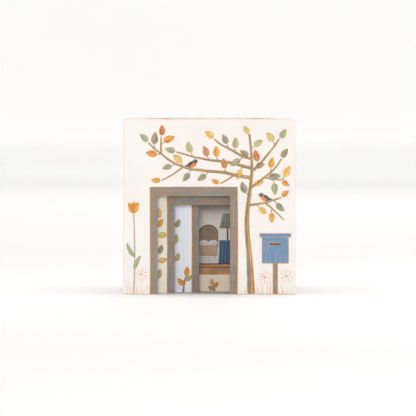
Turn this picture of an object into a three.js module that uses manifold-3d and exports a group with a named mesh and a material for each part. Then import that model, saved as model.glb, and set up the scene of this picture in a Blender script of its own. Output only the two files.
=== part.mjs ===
// A nest of five square play boxes made of greyboard and printed paper.
//
// Every box is open at the bottom and stands on its own rim, and each one hides the next smaller one.
// The front walls of the three largest boxes have a doorway, the fourth has a window, and the fifth is
// whole. A box is five board panels, four paper tapes over the upright corners, a paper wrap outside and
// a paper lining inside.
//
// Millimetres. X runs to the right seen from the front, the fronts face -Y, and Z points up. The origin is
// on the table, under the centre of the largest box.

import * as THREE from 'three';
import { mergeVertices } from 'three/addons/utils/BufferGeometryUtils.js';
import Module from 'manifold-3d';

const wasm = await Module();
wasm.setup();

// Thickness of the layers of a wall, from the outside in.
const WRAP_THICKNESS = 0.25;
const BOARD_THICKNESS = 1.75;
const LINING_THICKNESS = 0.25;
const WALL_THICKNESS = WRAP_THICKNESS + BOARD_THICKNESS + LINING_THICKNESS;

// The tapes that hold the upright corners, let into the face of the board by their own thickness.
const TAPE_THICKNESS = 0.25;
const TAPE_LEG = 12;

// The largest box, and how much smaller each next box is.
const LARGEST_WIDTH = 140;
const LARGEST_HEIGHT = 142;
const WIDTH_STEP = 18;
const HEIGHT_STEP = 17;

// The nest is pushed together at the back, with this gap left between one box and the next.
const BACK_GAP = 0.75;

// How far a cutting block reaches past the face that it cuts through.
const CUT_OVERRUN = 5;

// Openings in the front walls: left and right edge from the centre of the box, bottom and top edge above
// the table. A doorway starts at the table. The smallest box has none.
const OPENINGS = [
  { left: -42, right: 16.75, bottom: 0, top: 80 },
  { left: -28.25, right: 22, bottom: 0, top: 72.25 },
  { left: -8.25, right: 26, bottom: 0, top: 75 },
  { left: -11, right: 24, bottom: 21, top: 77 },
  null,
];

// Colours of the printed paper, one for each box, from the largest to the smallest.
const WRAP_COLOURS = [0xfaf5f0, 0xe5e2d7, 0xe8ebf2, 0xe9d8c7, 0xaa9d96];
const LINING_COLOUR = 0xf1ebdf;
const BOARD_COLOUR = 0xa89c8b;
const TAPE_COLOUR = 0xb98f63;

// How matt each material is.
const WRAP_ROUGHNESS = 0.85;
const LINING_ROUGHNESS = 0.9;
const BOARD_ROUGHNESS = 0.95;
const TAPE_ROUGHNESS = 0.9;

// A block between two corner points.
function block(low, high) {
  const geometry = new THREE.BoxGeometry(high[0] - low[0], high[1] - low[1], high[2] - low[2]);
  geometry.translate((low[0] + high[0]) / 2, (low[1] + high[1]) / 2, (low[2] + high[2]) / 2);
  return solidFrom(geometry);
}

// A three.js geometry as a solid that can be cut and joined.
function solidFrom(geometry) {
  geometry.deleteAttribute('normal');
  geometry.deleteAttribute('uv');
  const merged = mergeVertices(geometry);
  const mesh = new wasm.Mesh({
    numProp: 3,
    vertProperties: new Float32Array(merged.attributes.position.array),
    triVerts: new Uint32Array(merged.index.array),
  });
  return new wasm.Manifold(mesh);
}

// A solid as a named mesh with a matt paper-like material.
function namedMesh(name, solid, colour, roughness) {
  const result = solid.getMesh();
  const positions = new Float32Array(result.numVert * 3);
  for (let vertex = 0; vertex < result.numVert; vertex += 1) {
    for (let axis = 0; axis < 3; axis += 1) {
      positions[vertex * 3 + axis] = result.vertProperties[vertex * result.numProp + axis];
    }
  }
  const geometry = new THREE.BufferGeometry();
  geometry.setAttribute('position', new THREE.BufferAttribute(positions, 3));
  geometry.setIndex(new THREE.BufferAttribute(new Uint32Array(result.triVerts), 1));
  geometry.computeVertexNormals();
  const material = new THREE.MeshStandardMaterial({ color: colour, roughness, metalness: 0 });
  const mesh = new THREE.Mesh(geometry, material);
  mesh.name = name;
  return mesh;
}

// The block that cuts an opening through a front wall.
function openingCutter(opening, half) {
  const bottom = opening.bottom === 0 ? -CUT_OVERRUN : opening.bottom;
  return block(
    [opening.left, -half - CUT_OVERRUN, bottom],
    [opening.right, -half + WALL_THICKNESS + CUT_OVERRUN, opening.top],
  );
}

// An open-bottomed shell: a block with a smaller block taken out from below.
function shell(half, top, thickness) {
  const outside = block([-half, -half, 0], [half, half, top]);
  const inside = block(
    [-half + thickness, -half + thickness, -CUT_OVERRUN],
    [half - thickness, half - thickness, top - thickness],
  );
  return outside.subtract(inside);
}

// Two numbers, the smaller one first.
function inRisingOrder(first, second) {
  return [Math.min(first, second), Math.max(first, second)];
}

// The four corner tapes of a box, bent round the upright edges of the board.
function cornerTapes(half, top) {
  const corners = [
    ['front_left', -1, -1],
    ['front_right', 1, -1],
    ['back_left', -1, 1],
    ['back_right', 1, 1],
  ];
  return corners.map(([name, sideX, sideY]) => {
    const [lowX, highX] = inRisingOrder(sideX * half, sideX * (half - TAPE_LEG));
    const [lowY, highY] = inRisingOrder(sideY * half, sideY * (half - TAPE_LEG));
    const inner = half - TAPE_THICKNESS;
    const square = block([lowX, lowY, 0], [highX, highY, top]);
    const core = block(
      [-inner, -inner, -CUT_OVERRUN],
      [inner, inner, top + CUT_OVERRUN],
    );
    return { name, solid: square.subtract(core) };
  });
}

// The five board panels of a box. The top lies on the walls, and the side walls stand between the front
// and the back.
function boardPanels(half, top) {
  const inner = half - BOARD_THICKNESS;
  const wallTop = top - BOARD_THICKNESS;
  return {
    front: block([-half, -half, 0], [half, -inner, wallTop]),
    back: block([-half, inner, 0], [half, half, wallTop]),
    left: block([-half, -inner, 0], [-inner, inner, wallTop]),
    right: block([inner, -inner, 0], [half, inner, wallTop]),
    top: block([-half, -half, wallTop], [half, half, top]),
  };
}

// One complete box, centred on its own upright axis.
function makeBox(index) {
  const name = `box_${index + 1}`;
  const half = (LARGEST_WIDTH - index * WIDTH_STEP) / 2;
  const height = LARGEST_HEIGHT - index * HEIGHT_STEP;
  const opening = OPENINGS[index];
  const cutter = opening ? openingCutter(opening, half) : null;
  const box = new THREE.Group();

  const boardHalf = half - WRAP_THICKNESS;
  const boardTop = height - WRAP_THICKNESS;
  const tapes = cornerTapes(boardHalf, boardTop - BOARD_THICKNESS);
  const panels = boardPanels(boardHalf, boardTop);
  if (cutter) {
    panels.front = panels.front.subtract(cutter);
  }
  for (const [panelName, panel] of Object.entries(panels)) {
    let solid = panel;
    if (panelName !== 'top') {
      for (const tape of tapes) {
        solid = solid.subtract(tape.solid);
      }
    }
    box.add(namedMesh(`${name}_${panelName}_board`, solid, BOARD_COLOUR, BOARD_ROUGHNESS));
  }
  for (const tape of tapes) {
    box.add(namedMesh(`${name}_tape_${tape.name}`, tape.solid, TAPE_COLOUR, TAPE_ROUGHNESS));
  }

  let wrap = shell(half, height, WRAP_THICKNESS);
  const liningHalf = boardHalf - BOARD_THICKNESS;
  let lining = shell(liningHalf, boardTop - BOARD_THICKNESS, LINING_THICKNESS);
  if (cutter) {
    wrap = wrap.subtract(cutter);
    lining = lining.subtract(cutter);
  }
  box.add(namedMesh(`${name}_wrap_paper`, wrap, WRAP_COLOURS[index], WRAP_ROUGHNESS));
  box.add(namedMesh(`${name}_lining_paper`, lining, LINING_COLOUR, LINING_ROUGHNESS));
  return box;
}

// The nest: each box stands inside the one before, a small gap in front of its back wall.
const nest = new THREE.Group();
for (let index = 0; index < OPENINGS.length; index += 1) {
  const box = makeBox(index);
  box.position.y = index * (WIDTH_STEP / 2 - WALL_THICKNESS - BACK_GAP);
  nest.add(box);
}

export default nest;
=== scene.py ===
# A nest of five card play boxes in printed paper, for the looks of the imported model.
#
# The boards, tapes and papers of every box are rebuilt with soft edges. The decoration on each wall is made
# of thin closed layers of paint: it is a plain garden and room of the author's own, and its stems and
# leaves are grown by a seeded rule. Drawing positions are millimetres on the face of a box: across from the
# box's centre line, and up from the table.

import math
import random

import bmesh
import bpy
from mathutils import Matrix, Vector
from mathutils.geometry import tessellate_polygon


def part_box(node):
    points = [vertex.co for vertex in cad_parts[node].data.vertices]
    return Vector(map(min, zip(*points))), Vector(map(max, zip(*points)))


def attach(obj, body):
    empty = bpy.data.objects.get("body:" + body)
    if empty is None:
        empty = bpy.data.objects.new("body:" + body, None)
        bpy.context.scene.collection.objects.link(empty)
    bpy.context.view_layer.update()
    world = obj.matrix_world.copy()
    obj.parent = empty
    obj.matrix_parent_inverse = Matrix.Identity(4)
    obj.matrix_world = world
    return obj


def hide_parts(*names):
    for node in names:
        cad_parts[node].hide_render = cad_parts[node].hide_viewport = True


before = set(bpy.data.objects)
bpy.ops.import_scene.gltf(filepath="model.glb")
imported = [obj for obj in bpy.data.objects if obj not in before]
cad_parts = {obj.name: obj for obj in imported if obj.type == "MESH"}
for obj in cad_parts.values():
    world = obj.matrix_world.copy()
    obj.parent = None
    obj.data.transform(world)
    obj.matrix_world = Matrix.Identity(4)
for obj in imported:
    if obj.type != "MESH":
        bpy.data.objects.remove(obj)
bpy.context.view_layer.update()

MM = 0.001
MIDDLE = (0.0, 0.0)
BOX_COUNT = 5

# How far a cutting block reaches past the face that it cuts through.
CUT_OVERRUN = 6.0

# The studio, in metres: a round sheet of paper that turns up into a wall, and how strongly the paper is lit
# from behind at some distances, which makes up for the lamps' falling off.
FLOOR_RINGS = (0.6, 2.0, 5.0)
FLOOR_RADIUS = 9.0
WALL_CURVE = 2.0
WALL_TOP = 4.0
CURVE_STEPS = 12
BOWL_SEGMENTS = 96
GLOW_BY_DISTANCE = [(0.9, 0.0), (3.4, 0.43), (4.7, 0.56), (9.0, 0.51)]
STUDIO_WHITE = (1.0, 0.995, 0.99)

# Edges of the sheets that are sharper than this, in degrees, are shaded as edges.
SHARP_ANGLE = 35

# Where the paper's edge colour starts, and where it is full, in millimetres from a folded edge.
EDGE_TINT_STARTS = 1.3
EDGE_TINT_FULL = 0.2

# Paper, board and corner tapes, in millimetres.
PAPER_SETBACK = 0.13
PAPER_THICKNESS = 0.12
WRAP_RADIUS = 0.75
BOARD_RADIUS = 0.5
LINING_RADIUS = 0.3
LINING_SETBACK = 0.03
LINING_THICKNESS = 0.16
TAPE_CLEARANCE = 0.02
TAPE_THICKNESS = 0.2
BEND_STEPS = 5

# The glued overlap of a wrap, in millimetres: how far it is from the edges of the back, the corner cut off
# it, and how far it stands out of the paper and reaches into it.
LAP_WIDTH = 11.0
LAP_INSET = 2.0
LAP_FOOT = 0.2
LAP_HEAD = 1.6
LAP_CORNER = 1.5
LAP_HALF_THICKNESS = 0.03

# Painted plants, in millimetres.
STEM_STEP = 7.0  # one step of a growing stem
SWAY_MEMORY = 0.75  # the share of its sway that a stem keeps from one step to the next
LEAF_LENGTH = 8.5
TWIG_LENGTH = 3.6
TIP_TWIG_LENGTH = 0.8  # from the end of a stem to the leaf there
LEAF_SPACING = 8.3  # least distance between the middles of two leaves
STEM_SPACING = 3.2  # least distance from the tip of a leaf to a stem
BOUGH_SPACING = 12.0  # a bough that would end nearer to the trunk's line than this is left out
SHOOT_LENGTH = 22.0
SHOOT_SPACING = 5.0  # least distance from a shoot to the stems before it
TIP_ROOM = 10.0  # room for leaves above the stems of a tree
BOLE_OVERLAP = 3.0  # how far the lower and the upper part of a trunk overlap
GARLAND_ROOM = 16.0  # height of wall over a frame from which a garland is painted there
VINE_WIDTH = 1.8
VINE_ROOM = 20.0  # width of wall beside a frame from which a vine is painted there
PETALS = 8  # of a daisy

# Painted frames: width of the posts, height of the lintel, height of the foot above the table, and how far
# plants keep from them.
POST_WIDTH = 6.0
LINTEL_HEIGHT = 7.0
FOOT = 0.5
FRAME_CLEARANCE = 1.5

# How a bough grows, in radians: how far it starts to the side of its target, how much it bends back over
# its whole length, how much it wanders at each step, and the angle between it and its shoots.
BOUGH_LIFT = 0.2
BOUGH_CURL = 0.4
BOUGH_WANDER = 0.32
SHOOT_ANGLE = 0.8

# Room wall, in metres above the table: painted shade, pale below the first height and grey above the
# second.
ROOM_PALE_BELOW = 0.047
ROOM_GREY_ABOVE = 0.076

# Paint is laid in layers of this height over the paper.
LAYER_HEIGHT = 0.02
WASH, STREAK, OUTLINE, FILL, DETAIL, INK = 1, 2, 3, 4, 5, 6
SUNK = 0.01

# Distance between the points of a smooth curve, in millimetres.
CURVE_SAMPLE = 0.8

# Width of the lane that one streak of dry brush work keeps to.
LANE_WIDTH = 0.8

# Shapes in one layer differ by a sliver, so that no two painted faces lie in one plane.
SHADES_IN_LAYER = 8
SHADE_HEIGHT = 0.0022

# A front board's corners are at least this far from its bottom and top edge if they belong to an opening.
EDGE_MARGIN = 0.5


def opening_of(number):
    """The opening in a front wall, from the corners of its board: left, right, bottom and top."""
    name = f"box_{number}_front_board"
    low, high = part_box(name)
    centre = (low[0] + high[0]) / 2
    corners = []
    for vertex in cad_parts[name].data.vertices:
        if low[2] + EDGE_MARGIN * MM < vertex.co.z < high[2] - EDGE_MARGIN * MM:
            corners.append(((vertex.co.x - centre) / MM, vertex.co.z / MM))
    if not corners:
        return None
    across = [x for x, _ in corners]
    up = [z for _, z in corners]
    bottom = min(up) if max(up) - min(up) > EDGE_MARGIN else 0.0
    return min(across), max(across), bottom, max(up)


openings = {number: opening_of(number) for number in range(1, BOX_COUNT + 1)}


# --- Materials


def linear(red, green, blue):
    """A screen colour, 0 to 255, as linear light."""
    result = []
    for value in (red, green, blue):
        value = value / 255
        result.append(value / 12.92 if value <= 0.04045 else ((value + 0.055) / 1.055) ** 2.4)
    return tuple(result)


def grey(value):
    """A grey in linear light."""
    return (value, value, value)


def shade(colour, factor):
    """A colour made lighter or darker."""
    return tuple(min(1.0, channel * factor) for channel in colour)


def new_material(name):
    """An empty material with its node tree, its shader and its object coordinates."""
    material = bpy.data.materials.new(name)
    material.use_nodes = True
    tree = material.node_tree
    shader = tree.nodes["Principled BSDF"]
    coordinates = tree.nodes.new("ShaderNodeTexCoord")
    return material, tree, shader, coordinates.outputs["Object"]


def noise(tree, coordinates, scale, detail, roughness, stretch=(1, 1, 1)):
    """Noise on object coordinates; its features are about 1/scale metres across."""
    mapping = tree.nodes.new("ShaderNodeMapping")
    mapping.inputs["Scale"].default_value = stretch
    tree.links.new(coordinates, mapping.inputs["Vector"])
    texture = tree.nodes.new("ShaderNodeTexNoise")
    texture.inputs["Scale"].default_value = scale
    texture.inputs["Detail"].default_value = detail
    texture.inputs["Roughness"].default_value = roughness
    tree.links.new(mapping.outputs["Vector"], texture.inputs["Vector"])
    return texture.outputs["Fac"]


def axes_of(tree, coordinates):
    """The X, Y and Z of a place, each as a socket."""
    separate = tree.nodes.new("ShaderNodeSeparateXYZ")
    tree.links.new(coordinates, separate.inputs["Vector"])
    return separate.outputs


def ramp(tree, value, stops):
    """Colours by value; stops are (position, colour)."""
    node = tree.nodes.new("ShaderNodeValToRGB")
    elements = node.color_ramp.elements
    while len(elements) < len(stops):
        elements.new(0.5)
    for element, (position, colour) in zip(elements, stops):
        element.position = position
        element.color = (*colour, 1.0)
    tree.links.new(value, node.inputs["Fac"])
    return node.outputs["Color"]


def feed(tree, value, socket):
    """Gives an input its value: a number, a colour, or what another node puts out."""
    if isinstance(value, (int, float)):
        socket.default_value = value
    elif isinstance(value, tuple):
        socket.default_value = (*value, 1.0)
    else:
        tree.links.new(value, socket)


def mix(tree, factor, first, second, blend="MIX"):
    """Two colours mixed."""
    node = tree.nodes.new("ShaderNodeMix")
    node.data_type = "RGBA"
    node.blend_type = blend
    for name, value in (("Factor", factor), ("A", first), ("B", second)):
        feed(tree, value, node.inputs[name])
    return node.outputs["Result"]


def math_node(tree, operation, first, second=0.0, clamp=False):
    """One step of arithmetic on numbers or sockets."""
    node = tree.nodes.new("ShaderNodeMath")
    node.operation = operation
    node.use_clamp = clamp
    for socket, value in zip(node.inputs, (first, second)):
        feed(tree, value, socket)
    return node.outputs["Value"]


def spread(tree, value, low, high):
    """A value stretched so that low becomes 0 and high becomes 1."""
    node = tree.nodes.new("ShaderNodeMapRange")
    node.inputs["From Min"].default_value = low
    node.inputs["From Max"].default_value = high
    tree.links.new(value, node.inputs["Value"])
    return node.outputs["Result"]


def add_bump(tree, shader, height, strength, distance):
    """Fine relief from a height value; the distance is in metres."""
    node = tree.nodes.new("ShaderNodeBump")
    node.inputs["Strength"].default_value = strength
    node.inputs["Distance"].default_value = distance
    tree.links.new(height, node.inputs["Height"])
    tree.links.new(node.outputs["Normal"], shader.inputs["Normal"])


def speckled(tree, colour, strength, grain, dark, low=0.3, high=0.7):
    """A colour that is darkened where a fine noise is low."""
    return mix(tree, strength, colour, ramp(tree, grain, [(low, dark), (high, grey(1))]), "MULTIPLY")


def finish_surface(tree, shader, colour, roughness, specular=0.5):
    """Gives a shader its colour, its roughness and how much it shines."""
    tree.links.new(colour, shader.inputs["Base Color"])
    feed(tree, roughness, shader.inputs["Roughness"])
    shader.inputs["Specular IOR Level"].default_value = specular


def gouache(name, colour, tint):
    """Matt paint with pools, thin places and brush grain, which drifts towards a second colour."""
    material, tree, shader, coordinates = new_material(name)
    pools = noise(tree, coordinates, 260, 5.0, 0.62)
    paint = ramp(tree, pools, [(0.3, shade(colour, 0.84)), (0.5, colour), (0.7, shade(colour, 1.16))])
    drift = spread(tree, noise(tree, coordinates, 95, 3.0, 0.5), 0.45, 0.65)
    paint = mix(tree, drift, paint, tint)
    grain = noise(tree, coordinates, 2600, 3.0, 0.7)
    paint = speckled(tree, paint, 0.16, grain, grey(0.2))
    roughness = ramp(tree, pools, [(0.3, grey(0.62)), (0.7, grey(0.8))])
    finish_surface(tree, shader, paint, roughness, 0.3)
    add_bump(tree, shader, grain, 0.25, 0.00006)
    return material


def printed_paper(name, colour, low, high, edge_colour):
    """Uncoated printed paper with fibres and a warm, uneven tint along the folded edges of one box."""
    material, tree, shader, coordinates = new_material(name)
    clouds = noise(tree, coordinates, 28, 4.0, 0.55)
    paper = ramp(tree, clouds, [(0.3, shade(colour, 0.975)), (0.7, shade(colour, 1.02))])
    fibres = noise(tree, coordinates, 1500, 4.0, 0.75)
    paper = speckled(tree, paper, 0.07, fibres, (0.45, 0.4, 0.33), 0.35, 0.6)
    paper = mix(tree, edge_tint(tree, coordinates, low, high), paper, edge_colour)
    finish_surface(tree, shader, paper, 0.74, 0.32)
    add_bump(tree, shader, fibres, 0.22, 0.00008)
    return material


def edge_tint(tree, coordinates, low, high):
    """How much edge colour a box has at a place: most along its upright and top edges, and unevenly."""
    nearness = []
    for axis, socket in enumerate(axes_of(tree, coordinates)):
        centre = (low[axis] + high[axis]) / 2 if axis < 2 else 0.0
        reach = high[axis] - centre
        offset = math_node(tree, "SUBTRACT", socket, centre)
        distance = math_node(tree, "ABSOLUTE", offset)
        nearness.append(spread(tree, distance, reach - EDGE_TINT_STARTS * MM, reach - EDGE_TINT_FULL * MM))
    edges = []
    for first, second in ((0, 1), (0, 2), (1, 2)):
        edges.append(math_node(tree, "MULTIPLY", nearness[first], nearness[second]))
    edge = math_node(tree, "MAXIMUM", math_node(tree, "MAXIMUM", edges[0], edges[1]), edges[2])
    patchy = spread(tree, noise(tree, coordinates, 140, 5.0, 0.7), 0.3, 0.75)
    return math_node(tree, "MULTIPLY", edge, math_node(tree, "ADD", 0.35, patchy), clamp=True)


def greyboard():
    """Recycled board, its cut edges showing grey and brown fibres."""
    material, tree, shader, coordinates = new_material("greyboard")
    layers = noise(tree, coordinates, 900, 6.0, 0.7, (1, 1, 0.35))
    stops = [(0.3, linear(120, 108, 92)), (0.5, linear(163, 150, 130)), (0.72, linear(188, 176, 156))]
    body = ramp(tree, layers, stops)
    specks = noise(tree, coordinates, 2400, 2.0, 0.5)
    speck_strength = ramp(tree, specks, [(0.66, grey(0)), (0.72, grey(0.6))])
    body = mix(tree, speck_strength, body, linear(92, 78, 64))
    finish_surface(tree, shader, body, 0.9, 0.2)
    add_bump(tree, shader, layers, 0.5, 0.0002)
    return material


def kraft_tape():
    """Brown paper tape with fine ribs."""
    material, tree, shader, coordinates = new_material("kraft_tape")
    ribs = noise(tree, coordinates, 700, 3.0, 0.5, (1, 1, 6))
    body = ramp(tree, ribs, [(0.3, linear(160, 120, 80)), (0.7, linear(196, 156, 112))])
    finish_surface(tree, shader, body, 0.8)
    add_bump(tree, shader, ribs, 0.3, 0.0001)
    return material


def seamless_floor():
    """White studio paper, faintly uneven, and lit from behind where it is far from the object."""
    material, tree, shader, coordinates = new_material("studio_paper")
    clouds = noise(tree, coordinates, 1.4, 3.0, 0.5)
    body = ramp(tree, clouds, [(0.3, (0.93, 0.925, 0.92)), (0.7, (0.955, 0.953, 0.95))])
    finish_surface(tree, shader, body, 0.6, 0.2)
    length = tree.nodes.new("ShaderNodeVectorMath")
    length.operation = "LENGTH"
    tree.links.new(coordinates, length.inputs[0])
    farthest = GLOW_BY_DISTANCE[-1][0]
    stops = [(distance / farthest, grey(glow)) for distance, glow in GLOW_BY_DISTANCE]
    glow = ramp(tree, spread(tree, length.outputs["Value"], 0.0, farthest), stops)
    tree.links.new(glow, shader.inputs["Emission Strength"])
    shader.inputs["Emission Color"].default_value = (*STUDIO_WHITE, 1.0)
    return material


# Screen colours, 0 to 255: a paint, and the second colour that it drifts towards.
PAINT_COLOURS = {
    "orange": ((233, 162, 62), (246, 186, 96)),
    "orange_deep": ((212, 128, 52), (232, 158, 72)),
    "yellow": ((236, 200, 116), (226, 206, 140)),
    "yellow_green": ((205, 198, 118), (226, 202, 122)),
    "pale_green": ((176, 186, 138), (204, 196, 140)),
    "green": ((146, 178, 142), (196, 196, 146)),
    "teal": ((120, 152, 146), (152, 168, 150)),
    "teal_dark": ((104, 130, 124), (150, 160, 142)),
    "olive": ((150, 146, 120), (172, 158, 126)),
    "rose": ((198, 116, 94), (208, 140, 116)),
    "brown_red": ((178, 112, 84), (200, 140, 110)),
    "ochre_line": ((208, 154, 88), (184, 138, 84)),
    "pale_line": ((230, 184, 138), (240, 206, 170)),
    "bark": ((138, 122, 98), (160, 134, 98)),
    "bark_light": ((208, 162, 104), (222, 178, 122)),
    "timber": ((142, 130, 117), (152, 128, 113)),
    "timber_grey": ((126, 130, 124), (138, 136, 128)),
    "timber_rose": ((156, 132, 124), (150, 136, 132)),
    "timber_tan": ((158, 134, 110), (168, 140, 113)),
    "rail": ((196, 150, 118), (180, 132, 98)),
    "rail_dark": ((166, 120, 86), (148, 106, 74)),
    "rim_shade": ((168, 150, 134), (184, 168, 152)),
    "daisy_line": ((220, 168, 110), (232, 184, 130)),
    "quilt": ((206, 178, 150), (218, 186, 154)),
    "quilt_dark": ((160, 142, 118), (150, 138, 122)),
    "timber_blue": ((122, 148, 170), (150, 160, 168)),
    "post_blue": ((110, 142, 172), (122, 140, 168)),
    "post_bright": ((100, 142, 182), (110, 136, 178)),
    "post_lilac": ((142, 144, 166), (152, 148, 166)),
    "post_teal": ((108, 148, 160), (128, 150, 164)),
    "bird_green": ((84, 98, 84), (112, 120, 100)),
    "bird_dark": ((56, 64, 66), (80, 84, 84)),
    "breast": ((248, 116, 76), (250, 140, 90)),
    "white": ((248, 246, 244), (232, 240, 248)),
    "floor_ochre": ((234, 182, 130), (214, 162, 114)),
    "floor_dark": ((128, 92, 60), (104, 72, 46)),
    "cloth_blue": ((74, 102, 138), (86, 112, 146)),
    "cloth_light": ((112, 140, 170), (132, 156, 182)),
    "lampshade": ((122, 130, 116), (138, 144, 128)),
    "lampshade_light": ((166, 170, 154), (182, 184, 168)),
    "sheet": ((238, 232, 226), (246, 242, 238)),
    "sheet_shadow": ((220, 213, 208), (208, 202, 198)),
}


def room_wall():
    """Bedroom wall with painted shade: pale behind the bed and grey under the ceiling."""
    material, tree, shader, coordinates = new_material("paint_room_wall")
    drift = math_node(tree, "MULTIPLY", noise(tree, coordinates, 120, 4.0, 0.6), 0.006)
    up = axes_of(tree, coordinates)["Z"]
    height = spread(tree, math_node(tree, "ADD", up, drift), ROOM_PALE_BELOW, ROOM_GREY_ABOVE)
    top = linear(226, 212, 202)
    middle = linear(234, 223, 215)
    bottom = linear(244, 237, 232)
    # Painted shade: pale at the bottom of the wall, grey at the top.
    wall = ramp(tree, height, [(0.0, bottom), (0.38, bottom), (0.62, middle), (1.0, top)])
    grain = noise(tree, coordinates, 1800, 3.0, 0.7)
    wall = speckled(tree, wall, 0.12, grain, grey(0.3))
    finish_surface(tree, shader, wall, 0.75, 0.3)
    add_bump(tree, shader, grain, 0.25, 0.00006)
    return material


paints = {}
for paint_name, (paint_colour, paint_tint) in PAINT_COLOURS.items():
    paints[paint_name] = gouache("paint_" + paint_name, linear(*paint_colour), linear(*paint_tint))
paints["room_wall"] = room_wall()


# --- Curves


def smooth_path(points, closed=False):
    """A Catmull-Rom curve through the points."""
    count = len(points)
    result = []
    for index in range(count if closed else count - 1):
        if closed:
            corners = [points[(index + offset) % count] for offset in (-1, 0, 1, 2)]
        else:
            corners = [points[min(max(index + offset, 0), count - 1)] for offset in (-1, 0, 1, 2)]
        length = math.dist(corners[1], corners[2])
        pieces = max(2, round(length / CURVE_SAMPLE))
        for piece in range(pieces):
            result.append(catmull_rom(corners, piece / pieces))
    if not closed:
        result.append(tuple(points[-1]))
    return result


def catmull_rom(corners, t):
    """One point between the second and third corner."""
    result = []
    for a, b, c, d in zip(*corners):
        square = 2 * a - 5 * b + 4 * c - d
        cube = 3 * b - a - 3 * c + d
        result.append(0.5 * (2 * b + (c - a) * t + square * t * t + cube * t ** 3))
    return tuple(result)


def away_from(place, reach, angle):
    """The place that lies a distance away in some direction."""
    return place[0] + reach * math.cos(angle), place[1] + reach * math.sin(angle)


def heading_between(before, here):
    """The direction from one place to another."""
    return math.atan2(here[1] - before[1], here[0] - before[0])


def turned(centre, ahead, rise, tilt):
    """The place so far ahead of a centre and above it, after everything is turned by tilt."""
    x = centre[0] + ahead * math.cos(tilt) - rise * math.sin(tilt)
    z = centre[1] + ahead * math.sin(tilt) + rise * math.cos(tilt)
    return x, z


def side_offsets(path, half_widths):
    """The left and right edge of a band along a path."""
    left = []
    right = []
    for index, (x, z) in enumerate(path):
        before = path[max(index - 1, 0)]
        after = path[min(index + 1, len(path) - 1)]
        dx = after[0] - before[0]
        dz = after[1] - before[1]
        length = math.hypot(dx, dz) or 1.0
        nx = -dz / length * half_widths[index]
        nz = dx / length * half_widths[index]
        left.append((x + nx, z + nz))
        right.append((x - nx, z - nz))
    return left, right


# --- Painted faces


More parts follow.
